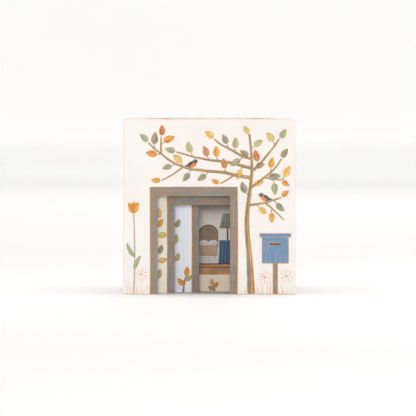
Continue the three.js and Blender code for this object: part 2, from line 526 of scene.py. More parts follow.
class Print:
    """The painted layers on one face of a box, gathered into one mesh."""

    def __init__(self, name, origin, across, up, seed):
        self.name = name
        self.origin = Vector(origin)
        self.across = Vector(across)
        self.up = Vector(up)
        self.outward = self.across.cross(self.up)
        self.random = random.Random(seed)
        self.shapes = 0
        self.vertices = []
        self.faces = []
        self.face_paints = []
        # Middles of the leaves, and points along the stems, that later leaves keep clear of.
        self.taken = []
        self.stems = []

    def point(self, across, up, height):
        """Adds one vertex and says which it is."""
        place = self.origin + self.across * (across * MM) + self.up * (up * MM)
        self.vertices.append(place + self.outward * ((height - PAPER_SETBACK) * MM))
        return len(self.vertices) - 1

    def height_of(self, layer):
        """The height of the next shape in a layer, a touch different from its neighbours'."""
        self.shapes += 1
        return layer * LAYER_HEIGHT - (self.shapes % SHADES_IN_LAYER) * SHADE_HEIGHT

    def add_face(self, corners, paint):
        """Adds one face in a paint."""
        self.faces.append(corners)
        self.face_paints.append(paint)

    def band(self, left, right, layer, paint):
        """A closed slab between two edges with as many points each."""
        height = self.height_of(layer)
        rows = []
        for (left_x, left_z), (right_x, right_z) in zip(left, right):
            rows.append(
                (
                    self.point(left_x, left_z, height),
                    self.point(right_x, right_z, height),
                    self.point(right_x, right_z, -SUNK),
                    self.point(left_x, left_z, -SUNK),
                )
            )
        for first, second in zip(rows, rows[1:]):
            for corner in range(4):
                after = (corner + 1) % 4
                self.add_face((first[corner], first[after], second[after], second[corner]), paint)
        self.add_face(tuple(reversed(rows[0])), paint)
        self.add_face(rows[-1], paint)

    def patch(self, outline, layer, paint, smooth=True):
        """A closed slab of any outline."""
        path = smooth_path(outline, closed=True) if smooth else list(outline)
        height = self.height_of(layer)
        upper = [self.point(x, z, height) for x, z in path]
        lower = [self.point(x, z, -SUNK) for x, z in path]
        for triangle in tessellate_polygon([[Vector((x, z, 0)) for x, z in path]]):
            self.add_face(tuple(upper[corner] for corner in triangle), paint)
            self.add_face(tuple(lower[corner] for corner in reversed(triangle)), paint)
        for index in range(len(path)):
            after = (index + 1) % len(path)
            self.add_face((upper[index], upper[after], lower[after], lower[index]), paint)

    def stroke(self, points, start_width, end_width, layer, paint, ragged=0.08):
        """A brush stroke along a smooth curve, ending in a short taper."""
        path = smooth_path(points)
        count = len(path)
        half_widths = []
        for index in range(count):
            t = index / (count - 1)
            width = start_width + (end_width - start_width) * t
            width *= 1 + ragged * (self.random.random() - 0.5) * 2
            tip = min(1.0, (index + 0.35) / 1.5, (count - 1 - index + 0.35) / 1.5)
            half_widths.append(width / 2 * tip)
        self.band(*side_offsets(path, half_widths), layer, paint)

    def dot(self, x, z, radius, layer, paint):
        """A round touch of the brush."""
        ring = []
        corners = 12
        for index in range(corners):
            angle = math.tau * index / corners
            reach = radius * (0.92 + 0.16 * self.random.random())
            ring.append(away_from((x, z), reach, angle))
        self.patch(ring, layer, paint, smooth=False)

    def leaf(self, base, tip, paint, width=None, line="ochre_line"):
        """A pointed leaf with an outline, a darker half, a midrib and side veins."""
        length = math.dist(base, tip)
        width = width or length * 0.52
        bend = (self.random.random() - 0.5) * 0.16
        dx = (tip[0] - base[0]) / length
        dz = (tip[1] - base[1]) / length
        path = []
        profile = []
        samples = 18
        for index in range(samples + 1):
            t = index / samples
            sway = bend * length * math.sin(math.pi * t)
            path.append((base[0] + dx * length * t - dz * sway, base[1] + dz * length * t + dx * sway))
            profile.append(max(0.0, math.sin(math.pi * t ** 0.75)) ** 0.85)
        outline = [width / 2 * value + 0.36 for value in profile]
        fill = [max(0.03, width / 2 * value - 0.22) for value in profile]
        self.band(*side_offsets(path, outline), OUTLINE, line)
        left, right = side_offsets(path, fill)
        self.band(left, right, FILL, paint)
        half = [(0.75 * a + 0.25 * b, 0.75 * c + 0.25 * d) for (a, c), (b, d) in zip(left, path)]
        self.band(half[2:-2], path[2:-2], DETAIL, LEAF_SHADES[paint])
        rib = path[:-2]
        self.stroke(rib[::3] + [rib[-1]], 0.5, 0.25, INK, line)
        for index in (4, 7, 10, 13):
            for side in (left, right):
                end = side[min(index + 3, samples)]
                start = path[index]
                reach = (start[0] + (end[0] - start[0]) * 0.8, start[1] + (end[1] - start[1]) * 0.8)
                self.stroke([start, reach], 0.22, 0.14, INK, line)
        self.taken.append(((base[0] + tip[0]) / 2, (base[1] + tip[1]) / 2))

    def branch(self, points, start_width, end_width):
        """A stem: an ochre edge, a bark body and a light streak."""
        self.stroke(points, start_width + 0.45, end_width + 0.4, OUTLINE, "bark_light")
        self.stroke(points, start_width * 0.9, end_width * 0.85, FILL, "bark")
        shifted = [(x + 0.16 * start_width, z + 0.05 * start_width) for x, z in points]
        self.stroke(shifted, start_width * 0.2, end_width * 0.16, DETAIL, "bark_light")

    def daisy(self, x, z, radius, turn):
        """An outlined white flower with a small ochre eye."""
        steps = 8
        for index in range(PETALS):
            angle = turn + math.tau * index / PETALS + 0.14 * (self.random.random() - 0.5)
            reach = radius * (0.84 + 0.3 * self.random.random())
            base = away_from((x, z), 0.9, angle)
            tip = away_from((x, z), reach, angle)
            path = []
            profile = []
            for step in range(steps + 1):
                along = (tip[0] - base[0]) * step / steps
                rise = (tip[1] - base[1]) * step / steps
                path.append((base[0] + along, base[1] + rise))
                rounding = math.sin(math.pi * min(1.0, 0.1 + 0.9 * step / steps) ** 1.3)
                profile.append(radius * 0.17 * rounding)
            self.band(*side_offsets(path, [value + 0.4 for value in profile]), OUTLINE, "daisy_line")
            self.band(*side_offsets(path, [max(0.03, value) for value in profile]), FILL, "white")
            self.stroke([path[1], path[5]], 0.28, 0.16, DETAIL, "daisy_line")
        self.dot(x, z, radius * 0.13, INK, "ochre_line")

    def grass(self, left, right, height, count):
        """Thin pale blades between two places at the foot of a wall."""
        for index in range(count):
            x = left + (right - left) * (index + self.random.random()) / count
            top = height * (0.4 + 0.6 * self.random.random())
            lean = (self.random.random() - 0.6) * 5.0
            middle = (x + lean * 0.35, top * 0.55)
            self.stroke([(x, 0.4), middle, (x + lean, top)], 0.62, 0.3, WASH, "pale_line")

    def streaks(self, left, right, bottom, top, colours, count, upright=True):
        """Dry brush streaks along a rectangle, side by side in lanes."""
        across = (left, right) if upright else (bottom, top)
        along = (bottom, top) if upright else (left, right)
        lanes = max(2, round((across[1] - across[0]) / LANE_WIDTH))
        lane_width = (across[1] - across[0]) / lanes
        per_lane = max(1, round(count / lanes))
        for lane in range(lanes):
            middle = across[0] + lane_width * (lane + 0.5)
            section = (along[1] - along[0]) / per_lane
            for index in range(per_lane):
                paint = self.random.choice(colours)
                width = lane_width * (0.55 + 0.35 * self.random.random())
                start = along[0] + section * (index + 0.35 * self.random.random())
                end = along[0] + section * (index + 0.65 + 0.33 * self.random.random())
                sway = (lane_width - width) * 0.4
                line = [(middle, start), (middle + sway, (start + end) / 2), (middle, end)]
                path = line if upright else [(z, x) for x, z in line]
                self.stroke(path, width, width * 0.6, STREAK, paint, ragged=0.12)

    def grow(self, start, heading, length, limits, keep_out=(), curl=0.0, wander=0.25, apart=0.0):
        """The path of a stem that bends steadily and wanders a little, for as long as it stays clear.

        apart is how far it keeps from the stems that are there already.
        """
        path = [start]
        sway = 0.0
        for _ in range(int(length / STEM_STEP)):
            heading += curl
            sway = SWAY_MEMORY * sway + wander * (self.random.random() - 0.5)
            place = away_from(path[-1], STEM_STEP, heading + sway)
            if not clear_of(*place, keep_out, limits, 1.0):
                break
            if any(math.dist(place, stem) < apart for stem in self.stems):
                break
            path.append(place)
        self.stems.extend(path)
        return path

    def has_room(self, knee, tip, limits, keep_out):
        """Whether a leaf here would be clear of the edges, the other leaves and the stems."""
        middle = ((knee[0] + tip[0]) / 2, (knee[1] + tip[1]) / 2)
        if not (clear_of(*tip, keep_out, limits, 1.5) and clear_of(*knee, keep_out, limits, 1.0)):
            return False
        if any(math.dist(middle, other) < LEAF_SPACING for other in self.taken):
            return False
        return all(math.dist(tip, stem) > STEM_SPACING for stem in self.stems)

    def tip_leaf(self, path, limits, keep_out=()):
        """A leaf at the end of a stem, turned aside and smaller where there is little room."""
        before, here = path[-2:]
        heading = heading_between(before, here)
        for turn, scale in ((0.0, 1.0), (0.5, 0.85), (-0.5, 0.85), (1.0, 0.75), (-1.0, 0.75)):
            knee = away_from(here, TIP_TWIG_LENGTH, heading + turn)
            tip = away_from(knee, LEAF_LENGTH * scale, heading + turn)
            if self.has_room(knee, tip, limits, keep_out):
                self.leaf(knee, tip, self.random.choice(LEAF_PAINTS))
                return

    def dress(self, path, limits, keep_out=(), sides=(1, -1), size=LEAF_LENGTH, scatter=0.9):
        """Twigs with a leaf each along a stem, on alternate sides, where there is room."""
        first_side = 0
        for before, here in zip(path, path[1:]):
            heading = heading_between(before, here)
            for turn in range(2 * len(sides)):
                side = sides[(first_side + turn) % len(sides)]
                angle = heading + side * (0.75 + 0.4 * self.random.random())
                knee = away_from(here, TWIG_LENGTH, angle)
                angle += (self.random.random() - 0.5) * scatter
                reach = size * (0.9 + 0.3 * self.random.random())
                tip = away_from(knee, reach, angle)
                if self.has_room(knee, tip, limits, keep_out):
                    self.stroke([here, knee], 0.9, 0.7, OUTLINE, "bark")
                    self.leaf(knee, tip, self.random.choice(LEAF_PAINTS))
                    first_side += turn + 1
                    break

    def vine(self, start, heading, length, limits, keep_out=()):
        """A wandering stem with its leaves."""
        path = self.grow(start, heading, length, limits, keep_out)
        if len(path) > 2:
            self.branch(path, VINE_WIDTH, VINE_WIDTH * 0.45)
            self.tip_leaf(path, limits, keep_out)
            self.dress(path, limits, keep_out)

    def build(self, body, material_slot):
        """One object from everything painted so far."""
        if not self.faces:
            return
        used = sorted(set(self.face_paints))
        mesh = bpy.data.meshes.new(self.name)
        mesh.from_pydata(self.vertices, [], self.faces)
        for paint in used:
            mesh.materials.append(paints[paint])
        mesh.polygons.foreach_set("material_index", [used.index(paint) for paint in self.face_paints])
        tidy_normals(mesh)
        place_object(self.name, mesh, body)


# The paint of a leaf, and the paint of its darker half.
LEAF_SHADES = {
    "orange": "orange_deep",
    "yellow": "orange",
    "yellow_green": "yellow",
    "pale_green": "green",
    "teal": "teal_dark",
    "teal_dark": "olive",
    "rose": "brown_red",
    "orange_deep": "orange",
    "green": "teal",
}
LEAF_PAINTS = list(LEAF_SHADES)


def clear_of(x, z, keep_out, limits, margin):
    """Whether a place is inside the limits and outside every rectangle kept free."""
    if not (limits[0] + margin < x < limits[1] - margin and limits[2] + margin < z < limits[3] - margin):
        return False
    for left, right, bottom, top in keep_out:
        if left - margin < x < right + margin and bottom - margin < z < top + margin:
            return False
    return True


def rim_shade(face, reach, opening):
    """A painted shade line along the foot of a front wall, where it stands on the table."""
    spans = [(-reach, reach)]
    if opening and opening[2] == 0.0:
        spans = [(-reach, opening[0]), (opening[1], reach)]
    for left, right in spans:
        line = [(left + 0.4, 0.3), ((left + right) / 2, 0.34), (right - 0.4, 0.3)]
        face.stroke(line, 0.5, 0.5, INK, "rim_shade")


def tidy_normals(mesh):
    """Makes every closed piece of a mesh face outwards."""
    work = bmesh.new()
    work.from_mesh(mesh)
    bmesh.ops.recalc_face_normals(work, faces=work.faces)
    work.to_mesh(mesh)
    work.free()


def add_object(name, data):
    """A new object in the scene."""
    item = bpy.data.objects.new(name, data)
    bpy.context.scene.collection.objects.link(item)
    return item


def place_object(name, mesh, body):
    """A mesh as an object that moves with a body."""
    piece = add_object(name, mesh)
    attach(piece, body)
    return piece


# --- Board, paper and tape


def block_work(low, high, open_bottom=False):
    """A block between two corners, ready to be worked on; the bottom can be left open."""
    work = bmesh.new()
    corners = []
    for z in (low[2], high[2]):
        for x, y in ((low[0], low[1]), (high[0], low[1]), (high[0], high[1]), (low[0], high[1])):
            corners.append(work.verts.new((x, y, z)))
    sides = [(0, 1, 5, 4), (1, 2, 6, 5), (2, 3, 7, 6), (3, 0, 4, 7), (4, 5, 6, 7)]
    if not open_bottom:
        sides.append((3, 2, 1, 0))
    for side in sides:
        work.faces.new([corners[index] for index in side])
    return work


def rounded_block(work, radius, segments):
    """Rounds every edge that joins two faces."""
    edges = [edge for edge in work.edges if len(edge.link_faces) == 2]
    bmesh.ops.bevel(work, geom=edges, offset=radius * MM, segments=segments, profile=0.5, affect="EDGES")


def join_rings(work, first, second):
    """Faces all the way round between two rings of as many vertices."""
    for index in range(len(first)):
        after = (index + 1) % len(first)
        work.faces.new((first[index], first[after], second[after], second[index]))


def mesh_from(work, name):
    """A finished mesh."""
    mesh = bpy.data.meshes.new(name)
    work.to_mesh(mesh)
    work.free()
    return mesh


def fold_and_cut(name, work, cutter_corners, thickness=None):
    """The finished mesh: given a thickness if it is a sheet, and with the opening cut out of it."""
    piece = add_object(name, mesh_from(work, name))
    if thickness:
        solidify = piece.modifiers.new("thickness", "SOLIDIFY")
        solidify.thickness = thickness * MM
        solidify.offset = -1.0
        solidify.use_even_offset = True
    cutter = None
    if cutter_corners:
        cutter = add_object("cutter", mesh_from(block_work(*cutter_corners), "cutter"))
        boolean = piece.modifiers.new("opening", "BOOLEAN")
        boolean.operation = "DIFFERENCE"
        boolean.solver = "EXACT"
        boolean.object = cutter
    bpy.context.view_layer.update()
    graph = bpy.context.evaluated_depsgraph_get()
    result = bpy.data.meshes.new_from_object(piece.evaluated_get(graph))
    result.name = name
    bpy.data.objects.remove(piece)
    if cutter:
        bpy.data.objects.remove(cutter)
    return result


def opening_cutter(number, front_y):
    """The two corners of the block that cuts a box's opening, or None."""
    if not openings[number]:
        return None
    left, right, bottom, top = [value * MM for value in openings[number]]
    overrun = CUT_OVERRUN * MM
    below = bottom if bottom > 0 else -overrun
    return (left, front_y - overrun, below), (right, front_y + overrun, top)


def widened(low, high, amount):
    """Two corners moved apart by amount on the sides and the top; the bottom stays on the table."""
    bigger_low = (low[0] - amount * MM, low[1] - amount * MM, low[2])
    bigger_high = (high[0] + amount * MM, high[1] + amount * MM, high[2] + amount * MM)
    return bigger_low, bigger_high


def centre_of(low, high):
    """The middle of a box, seen from above."""
    return (low[0] + high[0]) / 2, (low[1] + high[1]) / 2


def shade_smooth_by_angle(mesh):
    """Smooth shading with the sharp edges of the sheet kept."""
    for polygon in mesh.polygons:
        polygon.use_smooth = True
    work = bmesh.new()
    work.from_mesh(mesh)
    for edge in work.edges:
        if len(edge.link_faces) != 2 or edge.calc_face_angle(0.0) > math.radians(SHARP_ANGLE):
            edge.smooth = False
    work.to_mesh(mesh)
    work.free()


def folded_sheet(name, corners, radius, segments, cutter, thickness, material):
    """A sheet folded down over a block, with rounded folds and the opening cut out of it."""
    work = block_work(*corners, open_bottom=True)
    rounded_block(work, radius, segments)
    mesh = fold_and_cut(name, work, cutter, thickness)
    mesh.materials.append(material)
    shade_smooth_by_angle(mesh)
    return mesh


def make_papers(number, paper, lining):
    """The wrap and the lining of one box."""
    name = f"box_{number}"
    low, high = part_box(f"{name}_wrap_paper")
    cutter = opening_cutter(number, low[1])

    corners = widened(low, high, -PAPER_SETBACK)
    mesh = folded_sheet(f"{name}_wrap", corners, WRAP_RADIUS, 4, cutter, PAPER_THICKNESS, paper)
    wrap = place_object(f"{name}_wrap", mesh, name)
    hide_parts(f"{name}_wrap_paper")

    corners = widened(*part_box(f"{name}_lining_paper"), -LINING_SETBACK)
    mesh = folded_sheet(f"{name}_lining", corners, LINING_RADIUS, 2, cutter, LINING_THICKNESS, lining)
    inside = place_object(f"{name}_lining", mesh, name)
    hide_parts(f"{name}_lining_paper")


def make_boards(number, board):
    """The five board panels of one box, with pressed edges."""
    name = f"box_{number}"
    for panel in ("front", "back", "left", "right", "top"):
        node = f"{name}_{panel}_board"
        low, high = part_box(node)
        work = block_work(low, high)
        rounded_block(work, BOARD_RADIUS, 2)
        cutter = opening_cutter(number, low[1]) if panel == "front" else None
        mesh = fold_and_cut(node, work, cutter)
        mesh.materials.append(board)
        shade_smooth_by_angle(mesh)
        piece = place_object(f"{name}_{panel}_panel", mesh, name)
        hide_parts(node)


def make_tapes(number, tape_material):
    """The four corner tapes, each bent round its upright edge."""
    name = f"box_{number}"
    low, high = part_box(f"{name}_wrap_paper")
    centre_x, centre_y = centre_of(low, high)
    for corner in ("front_left", "front_right", "back_left", "back_right"):
        node = f"{name}_tape_{corner}"
        tape_low, tape_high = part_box(node)
        side_x = 1 if tape_low[0] > centre_x else -1
        side_y = 1 if tape_low[1] > centre_y else -1
        outer = (tape_high[0] if side_x > 0 else tape_low[0], tape_high[1] if side_y > 0 else tape_low[1])
        leg = tape_high[0] - tape_low[0]
        outside = bent_edge(outer, side_x, side_y, leg, TAPE_CLEARANCE, BOARD_RADIUS)
        inside = bent_edge(
            outer, side_x, side_y, leg, TAPE_CLEARANCE + TAPE_THICKNESS, BOARD_RADIUS - TAPE_THICKNESS
        )
        work = bmesh.new()
        rings = []
        for z in (tape_low[2], tape_high[2]):
            ring = outside + list(reversed(inside))
            rings.append([work.verts.new((x, y, z)) for x, y in ring])
        join_rings(work, *rings)
        half = len(outside)
        for ring in rings:
            for index in range(half - 1):
                work.faces.new((ring[index], ring[index + 1], ring[-2 - index], ring[-1 - index]))
        bmesh.ops.recalc_face_normals(work, faces=work.faces)
        mesh = mesh_from(work, node)
        mesh.materials.append(tape_material)
        piece = place_object(f"{name}_stay_{corner}", mesh, name)
        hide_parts(node)


def bent_edge(outer, side_x, side_y, leg, inset, radius):
    """The plan line of one face of a corner tape, from the end of one leg to the end of the other."""
    x = outer[0] - side_x * inset * MM
    y = outer[1] - side_y * inset * MM
    line = [(outer[0] - side_x * leg, y)]
    for index in range(BEND_STEPS + 1):
        angle = math.pi / 2 * index / BEND_STEPS
        across = side_x * radius * MM * (1 - math.sin(angle))
        along = side_y * radius * MM * (1 - math.cos(angle))
        line.append((x - across, y - along))
    line.append((x, outer[1] - side_y * leg))
    return line


# --- Drawing surfaces


def faces_of(number):
    """The five painted faces of a box, keyed by side."""
    name = f"box_{number}"
    low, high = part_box(f"{name}_wrap_paper")
    centre_x, centre_y = centre_of(low, high)
    upwards = (0, 0, 1)
    places = {
        "front": ((centre_x, low[1], 0), (1, 0, 0), upwards),
        "right": ((high[0], centre_y, 0), (0, 1, 0), upwards),
        "back": ((centre_x, high[1], 0), (-1, 0, 0), upwards),
        "left": ((low[0], centre_y, 0), (0, -1, 0), upwards),
        "top": ((centre_x, centre_y, high[2]), (1, 0, 0), (0, 1, 0)),
    }
    faces = {}
    for index, (side, place) in enumerate(places.items()):
        faces[side] = Print(f"{name}_print_{side}", *place, seed=number * 10 + index)
    return faces


TIMBER = ["timber_grey", "timber_rose", "timber_tan", "timber", "timber_grey", "timber_blue"]


def half_size(number):
    """Half the width and the height of a box, in millimetres."""
    low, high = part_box(f"box_{number}_wrap_paper")
    return (high[0] - low[0]) / 2 / MM, high[2] / MM


def oval(centre_x, centre_z, half_width, half_height, tilt=0.0, count=32):
    """Points round an oval, turned by tilt."""
    points = []
    for index in range(count):
        angle = math.tau * index / count
        ahead = half_width * math.cos(angle)
        rise = half_height * math.sin(angle)
        points.append(turned((centre_x, centre_z), ahead, rise, tilt))
    return points


def rectangle(face, left, right, bottom, top, layer, paint):
    """A plain painted rectangle."""
    face.band([(left, bottom), (left, top)], [(right, bottom), (right, top)], layer, paint)


def timber(face, left, right, bottom, top, count, upright=True):
    """A painted board with streaks of several greys and browns along it."""
    rectangle(face, left, right, bottom, top, WASH, "timber")
    face.streaks(left, right, bottom, top, TIMBER, count, upright)


def timber_frame(face, opening):
    """A painted frame round an opening, with brush streaks and an ochre line outside it."""
    left, right, bottom, top = opening
    foot = max(bottom, FOOT)
    head = top + LINTEL_HEIGHT
    outer_left = left - POST_WIDTH
    outer_right = right + POST_WIDTH
    for low, high in ((outer_left, left), (right, outer_right)):
        timber(face, low, high, foot, head, 18)
    timber(face, left, right, top, head, 16, upright=False)
    if bottom > 0:
        window_sill(face, outer_left, outer_right, bottom)
    for x in (outer_left, outer_right):
        face.stroke([(x, foot), (x + 0.2, (foot + head) / 2), (x, head)], 0.9, 0.8, OUTLINE, "ochre_line")
    face.stroke([(outer_left, head), (0.0, head + 0.2), (outer_right, head)], 0.7, 0.7, OUTLINE, "olive")


def window_sill(face, left, right, top):
    """The rail under a window, pinkish tan with painted shade along its top and an ochre line below."""
    bottom = top - POST_WIDTH
    colours = ["rail", "timber_tan", "timber_rose", "rail"]
    rectangle(face, left, right, bottom, top, WASH, "rail")
    face.streaks(left, right, bottom, top - 1.5, colours, 20, upright=False)
    # Painted shade along the top of the rail.
    rectangle(face, left, right, top - 1.4, top, OUTLINE, "rail_dark")
    face.stroke([(left, bottom), (0.0, bottom - 0.1), (right, bottom)], 1.2, 1.2, OUTLINE, "ochre_line")


def framed_area(opening):
    """The rectangle that an opening and its frame take up, which plants keep clear of."""
    left, right, _, top = opening
    beside = POST_WIDTH + FRAME_CLEARANCE
    return left - beside, right + beside, 0.0, top + LINTEL_HEIGHT + FRAME_CLEARANCE


def bough_target(limits, low_left, low_right, share):
    """A place on the outline of a crown, going up its left side, along its top and down its right side."""
    left, right, _, top = limits
    corners = [(left, low_left), (left, top), (right, top), (right, low_right)]
    lengths = [math.dist(first, second) for first, second in zip(corners, corners[1:])]
    along = share * sum(lengths)
    for index, length in enumerate(lengths):
        if along <= length or index == len(lengths) - 1:
            part = min(1.0, along / length)
            first, second = corners[index], corners[index + 1]
            return first[0] + (second[0] - first[0]) * part, first[1] + (second[1] - first[1]) * part
        along -= length


def tree(face, foot_x, lowest, boughs, limits, low_left, keep_out=()):
    """The stems of a tree: a tapering trunk, boughs fanned over the crown, and side shoots on each.

    lowest is the height at which the crown starts, and low_left how far down its left side reaches.
    """
    left, right, _, tallest = limits
    tip_height = tallest - TIP_ROOM
    stem_limits = (left + 5.0, right - 5.0, limits[2], tip_height)
    joint = lowest * 0.5
    trunk = [
        (foot_x, FOOT),
        (foot_x - 1.5, joint),
        (foot_x - 3.5, lowest),
        (foot_x + 0.5, (lowest + tallest) / 2),
        (foot_x - 1.5, tip_height),
    ]
    trunk_line = smooth_path(trunk)
    below = [point for point in trunk_line if point[1] < joint + BOLE_OVERLAP]
    above = [point for point in trunk_line if point[1] >= joint - BOLE_OVERLAP]
    bole(face, below[::8] + [below[-1]])
    face.branch(above[::8] + [above[-1]], 4.4, 1.3)
    face.stems.extend(trunk_line[::6])
    low_right = lowest + 6.0
    up_left = tallest - low_left + foot_x - left
    up_right = right - foot_x + tallest - low_right
    middle = up_left / (up_left + up_right)
    paths = [[point for point in trunk_line[::9] if point[1] > lowest]]
    for index in range(boughs):
        share = (index + 0.5) / boughs
        target = bough_target(stem_limits, low_left, low_right, share)
        offset = target[0] - foot_x
        if abs(offset) < BOUGH_SPACING:
            continue
        side = 1 if offset > 0 else -1
        rise = share / middle if side < 0 else (1.0 - share) / (1.0 - middle)
        base = lowest + 5.0 if side > 0 else max(lowest + 5.0, low_left - 14.0)
        height = base + (tallest - base) * 0.62 * rise
        start = min(trunk_line, key=lambda point: abs(point[1] - height))
        length = math.dist(start, target)
        heading = heading_between(start, target) - side * BOUGH_LIFT
        curl = side * BOUGH_CURL * STEM_STEP / length
        path = face.grow(start, heading, length, limits, keep_out, curl, BOUGH_WANDER)
        if len(path) < 3:
            continue
        face.branch(path, 1.6 + length * 0.012, 0.9)
        paths.append(path)
        paths.extend(side_shoots(face, path, side, stem_limits, keep_out))
    return paths


def side_shoots(face, path, side, limits, keep_out):
    """Short stems on a bough, on alternate sides, where there is room."""
    shoots = []
    for place in range(2, len(path) - 1, 3):
        side = -side
        heading = heading_between(path[place - 1], path[place]) + side * SHOOT_ANGLE
        shoot = face.grow(path[place], heading, SHOOT_LENGTH, limits, keep_out, apart=SHOOT_SPACING)
        if len(shoot) > 2:
            face.branch(shoot, 1.3, 0.7)
            shoots.append(shoot)
    return shoots


def leafy_crown(face, boughs, limits, keep_out=()):
    """Leaves on every bough: first one at each tip, then the others."""
    for path in boughs:
        face.tip_leaf(path, limits, keep_out)
    for path in boughs:
        face.dress(path, limits, keep_out)


def perch_on(face, path):
    """Which point along a bough has the most free wall just above it."""
    def free_above(place):
        x, z = path[place]
        return min(math.dist((x, z + 5.0), stem) for stem in face.stems)

    return max(range(len(path) // 2, len(path) - 1), key=free_above)


def bole(face, points):
    """The thick foot of a trunk, spread at the ground, with streaks of bark along it."""
    face.branch(points, 6.4, 4.2)
    streaks = ((-1.2, 0.7, "timber_grey"), (-0.3, 0.8, "timber_rose"), (1.3, 0.6, "orange_deep"))
    for offset, width, paint in streaks:
        face.stroke([(x + offset, z) for x, z in points], width, width * 0.7, INK, paint)


def creeper(face, x, top):
    """A stem up a wall with leaves on both sides, of which only some show past a door post."""
    limits = (x - 13.0, x + 14.0, 2.0, top)
    path = face.grow((x, 3.0), math.pi / 2, top, limits, wander=0.08)
    face.branch(path, 1.5, 0.9)
    face.tip_leaf(path, limits)
    face.dress(path, limits, sides=(-1,), size=7.4, scatter=1.7)
    face.dress(path, limits, sides=(1,), size=7.4, scatter=1.2)


def sapling(face, x, height, lean, leaf_length):
    """A shoot from the foot of a wall, with a leaf at its tip and one on each side."""
    tip = (x + lean * height, height)
    face.branch([(x, FOOT), (x + lean * height * 0.3, height * 0.5), tip], 1.6, 0.9)
    for share, turn in ((1.0, 0.0), (0.75, 0.9), (0.45, -0.9)):
        base = (x + lean * height * share * share, height * share)
        leaf_tip = away_from(base, leaf_length, math.atan2(1.0, lean) - turn)
        face.leaf(base, leaf_tip, face.random.choice(LEAF_PAINTS))


def wreath(face, radius, limits):
    """A ring of leaves with daisies in the middle, for the lid of a box."""
    steps = round(math.tau * radius / STEM_STEP)
    ring = []
    for index in range(steps + 1):
        angle = math.tau * index / steps
        ring.append(away_from(MIDDLE, radius * (1.0 + 0.03 * math.sin(3.0 * angle)), angle))
    face.stems.extend(ring)
    face.branch(ring, 1.8, 1.7)
    face.dress(ring, limits)
    for index in range(3):
        angle = math.tau * index / 3 + 0.5
        face.daisy(*away_from(MIDDLE, radius * 0.3, angle), 6.0, angle)


def meadow(face, left, right, daisies):
    """Grass along the foot of a wall, with daisies spread along it."""
    face.grass(left, right, 12.0, round((right - left) / 1.9))
    for index in range(daisies):
        x = left + (right - left) * (index + 0.35 + 0.3 * face.random.random()) / daisies
        face.daisy(x, 10.5 + 6.0 * face.random.random(), 5.4, face.random.random())


def songbird(face, x, z, size, tilt, facing):
    """A small round bird standing at x, z; facing is 1 to the right, -1 to the left."""
    def at(forward, up):
        return turned((x, z), forward * size * facing, (up + 0.62) * size, tilt)

    def limb(places, start, end, layer, paint):
        face.stroke([at(*place) for place in places], size * start, size * end, layer, paint)

    def body(centre, half_length, half_height, turn, layer, paint):
        face.patch(oval(*at(*centre), size * half_length, size * half_height, turn), layer, paint)

    lean = tilt + 0.45 * facing
    for leg in (-0.05, 0.15):
        limb([(leg, -0.62), (leg, -0.3)], 0.09, 0.07, DETAIL, "ochre_line")
    limb([(-0.5, -0.15), (-1.0, -0.4), (-1.5, -0.62)], 0.34, 0.2, STREAK, "bird_dark")
    body((0.0, 0.0), 0.74, 0.48, lean, OUTLINE, "bird_green")
    body((0.24, -0.06), 0.5, 0.34, lean + 0.3 * facing, FILL, "breast")
    body((0.5, 0.5), 0.36, 0.34, 0.0, DETAIL, "bird_green")
    limb([(0.1, 0.22), (-0.35, -0.05), (-0.95, -0.38)], 0.36, 0.1, INK, "bird_dark")
    face.dot(*at(0.62, 0.56), size * 0.08, INK, "bird_dark")
    limb([(0.82, 0.5), (1.12, 0.44)], 0.15, 0.06, INK, "ochre_line")
    face.taken.extend([at(0.0, 0.0), at(-1.0, -0.3), at(0.9, 0.6)])


def letter_box(face, centre, bottom, width, height):
    """A plain box with a lid and a slot on a timber post, painted in upright strokes of blue."""
    left = centre - width / 2
    right = centre + width / 2
    top = bottom + height
    post_left = centre - 1.8
    post_right = centre + 1.8
    timber(face, post_left, post_right, FOOT, bottom, 9)
    for x in (post_left, post_right):
        face.stroke([(x, FOOT), (x, bottom)], 0.6, 0.6, OUTLINE, "ochre_line")
    rectangle(face, left - 0.5, right + 0.5, bottom - 0.5, top, STREAK, "ochre_line")
    rectangle(face, left, right, bottom, top, OUTLINE, "post_blue")
    lanes = 24
    tones = ["post_bright", "post_bright", "post_teal", "post_blue", "post_lilac"]
    for lane in range(lanes):
        x = left + width * (lane + 0.5) / lanes
        low = bottom + 0.6
        while low < top - 3.0:
            high = min(top - 1.0, low + 5 + 7 * face.random.random())
            tone = face.random.choice(tones)
            line = [(x, low), (x + 0.1, (low + high) / 2), (x, high)]
            face.stroke(line, 0.9, 0.75, FILL, tone, ragged=0.1)
            low = high + 0.2
    slot = top - height * 0.28
    rim_and_gap = ((0.25, 1.1, DETAIL, "ochre_line"), (0.22, 0.6, INK, "bird_dark"))
    for share, half_height, layer, paint in rim_and_gap:
        half_width = width * share
        slot_bottom = slot - half_height
        slot_top = slot + half_height
        rectangle(face, centre - half_width, centre + half_width, slot_bottom, slot_top, layer, paint)
    rectangle(face, left - 2.4, right + 2.4, top - 0.4, top + 2.8, FILL, "ochre_line")
    rectangle(face, left - 2.0, right + 2.0, top, top + 2.4, DETAIL, "post_blue")
    shine = [(left - 1.4, top + 1.5), (centre, top + 1.6), (right + 1.4, top + 1.4)]
    face.stroke(shine, 1.1, 0.9, INK, "post_bright")


def tall_flower(face, x, height):
    """A straight stem with two narrow leaves and an orange cup of three petals."""
    face.stroke([(x, FOOT), (x + 0.8, height * 0.5), (x, height)], 0.9, 0.8, OUTLINE, "olive")
    for share, side in ((0.3, 1), (0.45, -1)):
        base = (x + 0.6, height * share)
        face.leaf(base, (x + side * 5.5, base[1] + 11.0), "pale_green", 2.8, "olive")
    petal = 9.5
    cup = (x, height - 2.0)
    for lean in (-0.45, 0.45, 0.0):
        tip = (x + petal * math.sin(lean), cup[1] + petal * math.cos(lean))
        face.leaf(cup, tip, "orange", 5.0)


